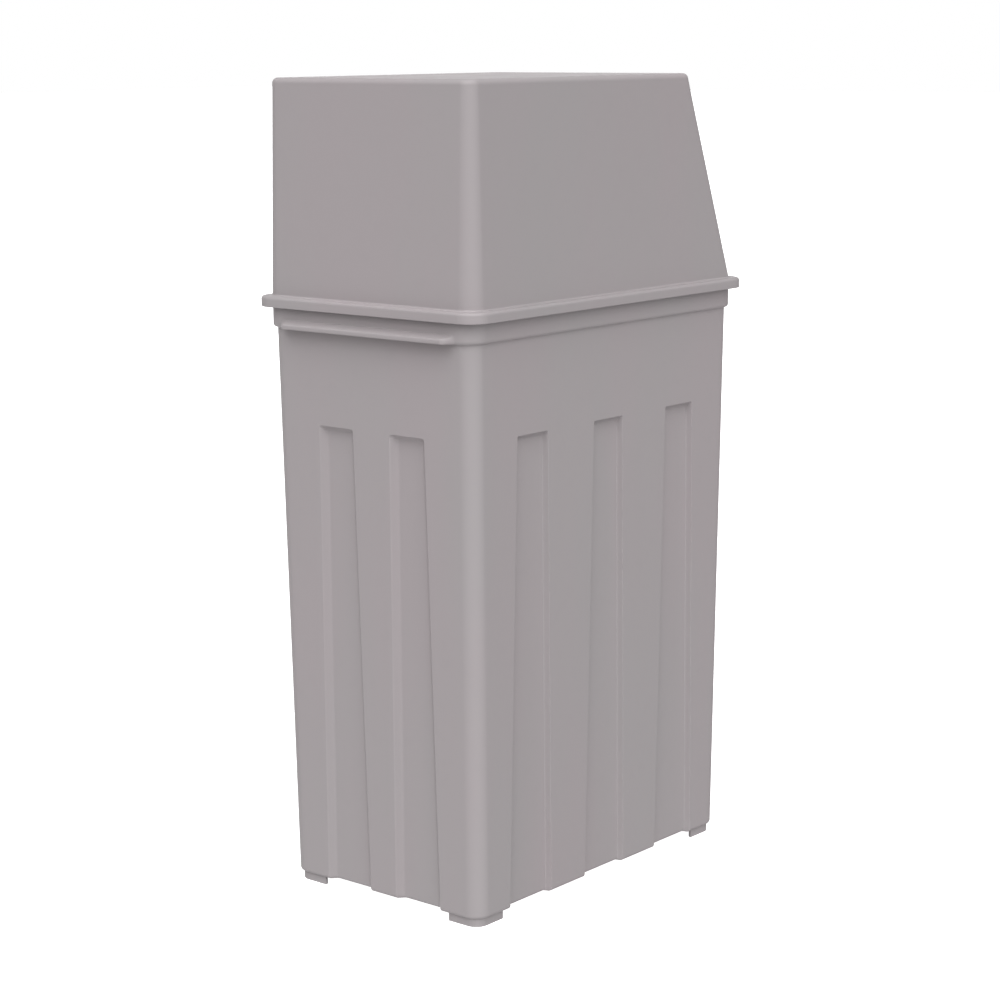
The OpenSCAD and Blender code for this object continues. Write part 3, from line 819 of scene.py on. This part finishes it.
def clip(side):
    """A domed spring-steel washer pushed on the rod's end."""
    x0, bore = BRACKET_X + BRACKET_T + CLIP_GAP, ROD_R + 0.02
    section = [(0.0, bore), (0.0, 4.9), (0.15, CLIP_R), (0.6, CLIP_R), (0.9, 4.85),
               (CLIP_T - 0.2, 4.0), (CLIP_T, 3.7), (CLIP_T, 3.1), (CLIP_T - 0.1, bore)]
    skin = Skin()
    skin.strip([round_hinge(side * (x0 + dx), r) for dx, r in section], closed=True)
    return mesh_object("rod_clip", skin)


def make_clips(material):
    obj = united([clip(side) for side in (-1, 1)])
    return finish_piece(obj, "hood", ["rod_clips"], material)


# ---- Torsion springs ----

def leg_angle(p, side):
    """The angle, in degrees, at which a straight leg to the point p leaves the coil."""
    return math.degrees(math.atan2(p[1], p[0]) + side * math.acos(COIL_R / math.hypot(*p)))


def on_coil(degrees):
    a = math.radians(degrees)
    return np.array((COIL_R * math.cos(a), COIL_R * math.sin(a)))


def make_spring(name, side, material):
    """A coil round the rod with one leg against the hood and the other against the flap."""
    start = leg_angle(HOOD_LEG, -1)
    stop = leg_angle(FLAP_LEG, 1) - 360 * (COIL_TURNS + 1)
    length = (start - stop) / 360 * COIL_PITCH
    points = [(0.0, *(HOOD_LEG + (on_coil(start) - HOOD_LEG) * f)) for f in (0.0, 0.4, 0.8)]
    for t in np.linspace(0, 1, int((start - stop) / 10)):
        points.append((length * t, *on_coil(start + (stop - start) * t)))
    points += [(length, *(on_coil(stop) + (FLAP_LEG - on_coil(stop)) * f)) for f in (0.2, 0.6, 1.0)]
    path = [on_slope(side * (SPRING_X + x), HINGE_S + s, HINGE_N + n) for x, s, n in points]
    obj = tube(name + "_wire", path, SPRING_WIRE_R, (1, 0, 0))
    finish_piece(obj, None, [name], material)
    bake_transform(obj)
    return obj


# ---- Bag ring ----

def make_bag_ring(material):
    """A bent wire frame, closed by a butt weld in the middle of its back run."""
    lo, hi = (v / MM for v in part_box("bag_ring"))
    half = np.array((hi.x, hi.y)) - RING_WIRE_R
    z = (lo.z + hi.z) / 2
    path = []
    for sx, sy, turn in ((1, 1, 0), (-1, 1, 90), (-1, -1, 180), (1, -1, 270)):
        centre = (sx * (half[0] - RING_BEND_R), sy * (half[1] - RING_BEND_R))
        path += [(x, y, z) for x, y in arc(centre, RING_BEND_R, turn, turn + 90, 12)]
        if turn == 0:
            path += [(x, half[1], z) for x in (4.0, 2.2, 1.4, 0.7, 0.0, -0.7, -1.4, -2.2, -4.0)]
    obj = tube("bag_ring_wire", path, RING_WIRE_R, (0, 0, 1), 20, closed=True)
    weld = Vector((0, half[1], z)) * MM
    for vert in obj.data.vertices:
        d = vert.co - weld
        # The bead stands proud inside and on top only, clear of the collar and its ledge
        if abs(d.x) < WELD_REACH * MM and d.y <= 0.3 * MM and d.z >= 0:
            swell = 1 + WELD_SWELL * math.exp(-(d.x / (WELD_HALF_L * MM)) ** 2)
            vert.co = weld + Vector((d.x, d.y * swell, d.z * swell))
    return finish_piece(obj, "bag_ring", ["bag_ring"], material)


# ---- Materials ----

PLASTIC = (0.376, 0.347, 0.356)      # the moulded parts' colour, as linear RGB


def new_material(name):
    mat = bpy.data.materials.new(name)
    mat.use_nodes = True
    return mat, mat.node_tree.nodes, mat.node_tree.links


class Surface:
    """A procedural material and the nodes that its recipes share."""

    def __init__(self, name, seed):
        self.mat, self.nodes, self.links = new_material(name)
        self.shader = self.nodes["Principled BSDF"]
        self.coord = self.nodes.new("ShaderNodeTexCoord").outputs["Object"]
        self.seed = seed

    def noise(self, scale, detail, stretch=(1, 1, 1)):
        place = self.nodes.new("ShaderNodeMapping")
        place.inputs["Scale"].default_value = stretch
        place.inputs["Location"].default_value = (self.seed, self.seed * 0.7, self.seed * 0.3)
        self.links.new(self.coord, place.inputs["Vector"])
        made = self.nodes.new("ShaderNodeTexNoise")
        made.inputs["Scale"].default_value = scale
        made.inputs["Detail"].default_value = detail
        self.links.new(place.outputs["Vector"], made.inputs["Vector"])
        return made.outputs["Fac"]

    def cells(self, scale):
        made = self.nodes.new("ShaderNodeTexVoronoi")
        made.inputs["Scale"].default_value = scale
        self.links.new(self.coord, made.inputs["Vector"])
        split = self.nodes.new("ShaderNodeSeparateColor")
        self.links.new(made.outputs["Color"], split.inputs["Color"])
        return split.outputs["Red"]

    def edges(self):
        return self.nodes.new("ShaderNodeNewGeometry").outputs["Pointiness"]

    def spread(self, fac, low, high, to_low, to_high):
        made = self.nodes.new("ShaderNodeMapRange")
        for key, value in zip(("From Min", "From Max", "To Min", "To Max"), (low, high, to_low, to_high)):
            made.inputs[key].default_value = value
        self.links.new(fac, made.inputs["Value"])
        return made.outputs["Result"]

    def mix(self, fac, a, b):
        made = self.nodes.new("ShaderNodeMix")
        made.data_type = "RGBA"
        self.links.new(fac, made.inputs["Factor"])
        # The colour sockets of this node come after its float and vector ones
        for socket, value in ((made.inputs[6], a), (made.inputs[7], b)):
            if isinstance(value, tuple):
                socket.default_value = (*value, 1)
            else:
                self.links.new(value, socket)
        return made.outputs[2]

    def bump(self, height, strength, distance, below=None):
        made = self.nodes.new("ShaderNodeBump")
        made.inputs["Strength"].default_value = strength
        made.inputs["Distance"].default_value = distance
        self.links.new(height, made.inputs["Height"])
        if below is not None:
            self.links.new(below, made.inputs["Normal"])
        return made.outputs["Normal"]

    def finish(self, colour, roughness, normal, metallic=0.0, specular=0.5):
        self.links.new(colour, self.shader.inputs["Base Color"])
        self.links.new(roughness, self.shader.inputs["Roughness"])
        self.links.new(normal, self.shader.inputs["Normal"])
        self.shader.inputs["Metallic"].default_value = metallic
        self.shader.inputs["Specular IOR Level"].default_value = specular
        return self.mat


def shade(colour, *scales):
    scales = scales * 3 if len(scales) == 1 else scales
    return tuple(c * k for c, k in zip(colour, scales))


def plastic(name, colour, seed):
    """Moulded polyethylene: fine grain, faint drawn-down tints and slightly rubbed edges."""
    m = Surface(name, seed)
    tint = m.spread(m.noise(9, 3, (1, 1, 0.22)), 0.38, 0.62, 0, 1)
    base = m.mix(tint, shade(colour, 0.99, 1.0, 0.995), shade(colour, 1.012, 0.992, 0.998))
    worn = m.mix(m.spread(m.edges(), 0.53, 0.60, 0, 0.5), base, shade(colour, 1.05))
    dusty = m.mix(m.spread(m.noise(60, 5), 0.55, 0.8, 0, 0.25), worn, shade(colour, 0.94))
    grain = m.bump(m.noise(1500, 4), 0.22, 0.00008)
    peel = m.bump(m.noise(70, 2), 0.12, 0.0006, grain)
    return m.finish(dusty, m.spread(m.noise(35, 4), 0.3, 0.7, 0.46, 0.58), peel, specular=0.35)


def zinc(name):
    """Bright zinc plate: small spangles, fine drawn lines and a dull bloom in places."""
    m = Surface(name, 1.3)
    spangle = m.mix(m.spread(m.cells(900), 0, 1, 0, 1), (0.58, 0.59, 0.60), (0.66, 0.67, 0.68))
    bloom = m.mix(m.spread(m.noise(140, 5), 0.5, 0.75, 0, 0.7), spangle, (0.50, 0.50, 0.49))
    lines = m.bump(m.noise(1200, 3, (0.15, 1, 1)), 0.15, 0.00005)
    return m.finish(bloom, m.spread(m.noise(220, 4), 0.3, 0.7, 0.26, 0.42), lines, metallic=1.0)


def spring_wire(name):
    """Drawn stainless wire, a little darker and smoother than the plated parts."""
    m = Surface(name, 4.1)
    colour = m.mix(m.spread(m.noise(400, 4), 0.35, 0.65, 0, 1), (0.36, 0.36, 0.37), (0.47, 0.47, 0.48))
    lines = m.bump(m.noise(2600, 2), 0.1, 0.00003)
    return m.finish(colour, m.spread(m.noise(300, 3), 0.3, 0.7, 0.22, 0.36), lines, metallic=1.0)


def rubber(name):
    """Soft black rubber with a dusty bloom."""
    m = Surface(name, 2.2)
    colour = m.mix(m.spread(m.noise(500, 5), 0.45, 0.75, 0, 1), (0.018, 0.018, 0.019), (0.05, 0.049, 0.048))
    skin = m.bump(m.noise(2200, 4), 0.3, 0.00006)
    return m.finish(colour, m.spread(m.noise(260, 3), 0.3, 0.7, 0.62, 0.82), skin, specular=0.3)


# ---- Stage, lights and camera ----

AZIMUTH, ELEVATION, ROLL = math.radians(219.88), math.radians(10.72), math.radians(-0.40)
AIM = Vector((0.00695, 0.00581, 0.38371))
DISTANCE = 2.55136
FOCAL, SENSOR = 88.214, 36
FLOOR_HALF = 30.0

# Broad lobes of light: azimuth and elevation of the middle, in degrees, sharpness, strength
LIGHTS = [(190, 62, 4, 1.95), (225, 45, 4, 2.15), (280, -4, 4, 0.97),    # overhead and at the side
          (180, -68, 4, 1.45),                                           # off the floor
          (40, -15, 4, 2.2), (110, -20, 4, 0.4)]                         # fill on the far sides


def away(azimuth, elevation):
    """The direction from the object to a place at that azimuth and elevation."""
    return Vector((math.sin(azimuth) * math.cos(elevation),
                   -math.cos(azimuth) * math.cos(elevation), math.sin(elevation)))


def make_camera():
    back = away(AZIMUTH, ELEVATION)
    right = Vector((math.cos(AZIMUTH), math.sin(AZIMUTH), 0))
    up = back.cross(right)
    rolled = (right * math.cos(ROLL) + up * math.sin(ROLL),
              up * math.cos(ROLL) - right * math.sin(ROLL), back)
    data = bpy.data.cameras.new("camera")
    data.lens, data.sensor_width = FOCAL, SENSOR
    obj = bpy.data.objects.new("camera", data)
    matrix = Matrix(rolled).transposed().to_4x4()
    matrix.translation = AIM + back * DISTANCE
    obj.matrix_world = matrix
    bpy.context.scene.collection.objects.link(obj)
    bpy.context.scene.camera = obj


def make_world(lights):
    """A soft surround made of broad lobes, which the camera sees as plain white."""
    world = bpy.data.worlds.new("studio")
    world.use_nodes = True
    bpy.context.scene.world = world
    nodes, links = world.node_tree.nodes, world.node_tree.links
    direction = nodes.new("ShaderNodeTexCoord").outputs["Generated"]

    def math_node(operation, a, b):
        made = nodes.new("ShaderNodeMath")
        made.operation = operation
        for socket, value in zip(made.inputs, (a, b)):
            if isinstance(value, float):
                socket.default_value = value
            else:
                links.new(value, socket)
        return made.outputs[0]

    def lobe(axis, power, strength):
        dot = nodes.new("ShaderNodeVectorMath")
        dot.operation = "DOT_PRODUCT"
        links.new(direction, dot.inputs[0])
        dot.inputs[1].default_value = axis
        facing = math_node("MAXIMUM", dot.outputs["Value"], 0.0)
        return math_node("MULTIPLY", math_node("POWER", facing, power), strength)

    light = 0.0
    for azimuth, elevation, power, strength in lights:
        axis = away(math.radians(azimuth), math.radians(elevation))
        light = math_node("ADD", light, lobe(axis, float(power), strength))
    seen = nodes.new("ShaderNodeMix")
    links.new(nodes.new("ShaderNodeLightPath").outputs["Is Camera Ray"], seen.inputs["Factor"])
    links.new(light, seen.inputs["A"])
    seen.inputs["B"].default_value = 1.0
    links.new(seen.outputs["Result"], nodes["Background"].inputs["Strength"])
    nodes["Background"].inputs["Color"].default_value = (1, 1, 1, 1)


def make_floor():
    """White paper that the camera sees and that the pieces neither reflect nor take light from."""
    r = FLOOR_HALF
    mesh = bpy.data.meshes.new("floor")
    mesh.from_pydata([(-r, -r, 0), (r, -r, 0), (r, r, 0), (-r, r, 0)], [], [(0, 1, 2, 3)])
    obj = bpy.data.objects.new("floor", mesh)
    bpy.context.scene.collection.objects.link(obj)
    mat, nodes, _ = new_material("floor_paper")
    shader = nodes["Principled BSDF"]
    shader.inputs["Base Color"].default_value = (0.85, 0.85, 0.85, 1)
    shader.inputs["Roughness"].default_value = 0.9
    shader.inputs["Emission Color"].default_value = (1, 1, 1, 1)
    shader.inputs["Emission Strength"].default_value = 0.93
    mesh.materials.append(mat)
    obj.visible_diffuse = False
    obj.visible_glossy = False


make_camera()
make_floor()
make_world(LIGHTS)
bpy.context.scene.view_settings.view_transform = "Standard"

make_body(plastic("body_plastic", PLASTIC, 0.0))
make_hood(plastic("hood_plastic", shade(PLASTIC, 0.97), 3.7))
make_flap(plastic("flap_plastic", shade(PLASTIC, 0.94), 7.9))
ZINC, WIRE, RUBBER = zinc("zinc_steel"), spring_wire("spring_steel"), rubber("bumper_rubber")
make_bumpers("flap_bumper_left", -1, RUBBER)
make_bumpers("flap_bumper_right", 1, RUBBER)
make_rod(ZINC)
make_bracket("hinge_bracket_left", -1, ZINC)
make_bracket("hinge_bracket_right", 1, ZINC)
make_screws(ZINC)
make_clips(WIRE)
make_spring("torsion_spring_left", -1, WIRE)
make_spring("torsion_spring_right", 1, WIRE)
make_bag_ring(ZINC)
